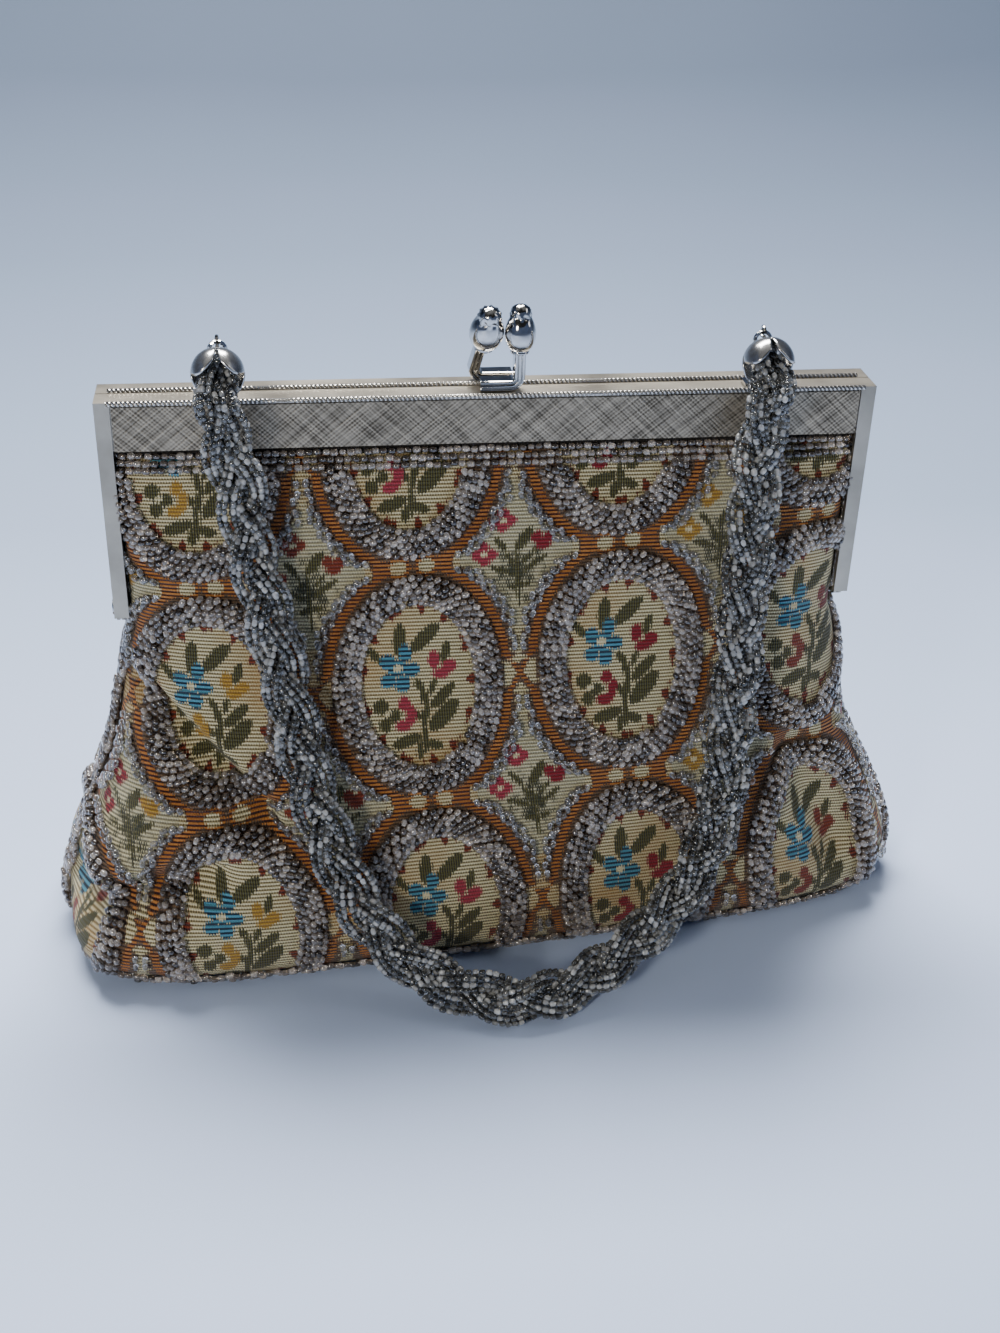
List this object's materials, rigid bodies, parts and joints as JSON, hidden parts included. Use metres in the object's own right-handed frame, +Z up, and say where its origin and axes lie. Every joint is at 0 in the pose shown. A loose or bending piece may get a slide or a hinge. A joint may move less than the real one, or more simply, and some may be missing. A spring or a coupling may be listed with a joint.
{
  "type": "beaded evening bag",
  "caption": "Small evening bag with a hinged kiss-lock metal frame, a woven fabric body trimmed with glass beads, a satin lining and a braided bead handle.",
  "frame": {"origin": "on the surface that the bag stands on, under the middle of the closed bag", "axes": "+X across the bag to its right as seen from the front, the front faces -Y, +Z up"},
  "size_m": [0.2425, 0.1281, 0.1745],
  "materials": {
    "satin_metal": "satin nickel plate, slightly worn",
    "engraved_metal": "cross-hatched engraving, tarnished",
    "polished_metal": "bright plate",
    "tapestry": "woven floral ovals in cream, rust and olive with beaded outlines",
    "satin_lining": "smooth satin",
    "glass_beads": "clear silver-lined seed beads"
  },
  "bodies": {
    "front_half": {"front_frame": "satin_metal", "front_band": "engraved_metal", "left_hinge_pin": "polished_metal", "right_hinge_pin": "polished_metal", "front_clasp_post": "polished_metal", "front_clasp_knob": "polished_metal", "front_panel": "tapestry", "rear_panel_lower": "tapestry", "rear_fold": "tapestry", "base_panel": "tapestry", "lining": "satin_lining", "front_lining": "satin_lining", "slip_pocket": "satin_lining", "front_edging": "glass_beads", "left_lug": "polished_metal", "right_lug": "polished_metal"},
    "rear_half": {"rear_frame": "satin_metal", "rear_band": "engraved_metal", "rear_clasp_post": "polished_metal", "rear_clasp_knob": "polished_metal", "rear_panel_upper": "tapestry", "rear_lining_upper": "satin_lining", "rear_edging": "glass_beads"},
    "handle": {"left_cap_eye": "polished_metal", "right_cap_eye": "polished_metal", "left_bead_cap": "polished_metal", "right_bead_cap": "polished_metal", "handle_cord": "glass_beads"}
  },
  "joints": [
    {"name": "rear_half_open", "type": "hinge", "parent": "front_half", "child": "rear_half", "pos_m": [0, 0, 0.092], "axis": [-1, 0, 0], "range_deg": [0, 70], "deforming": ["rear_fold"]},
    {"name": "handle_swing", "type": "hinge", "parent": "front_half", "child": "handle", "pos_m": [0, -0.0034, 0.16605], "axis": [-1, 0, 0], "range_deg": [0, 155]}
  ]
}
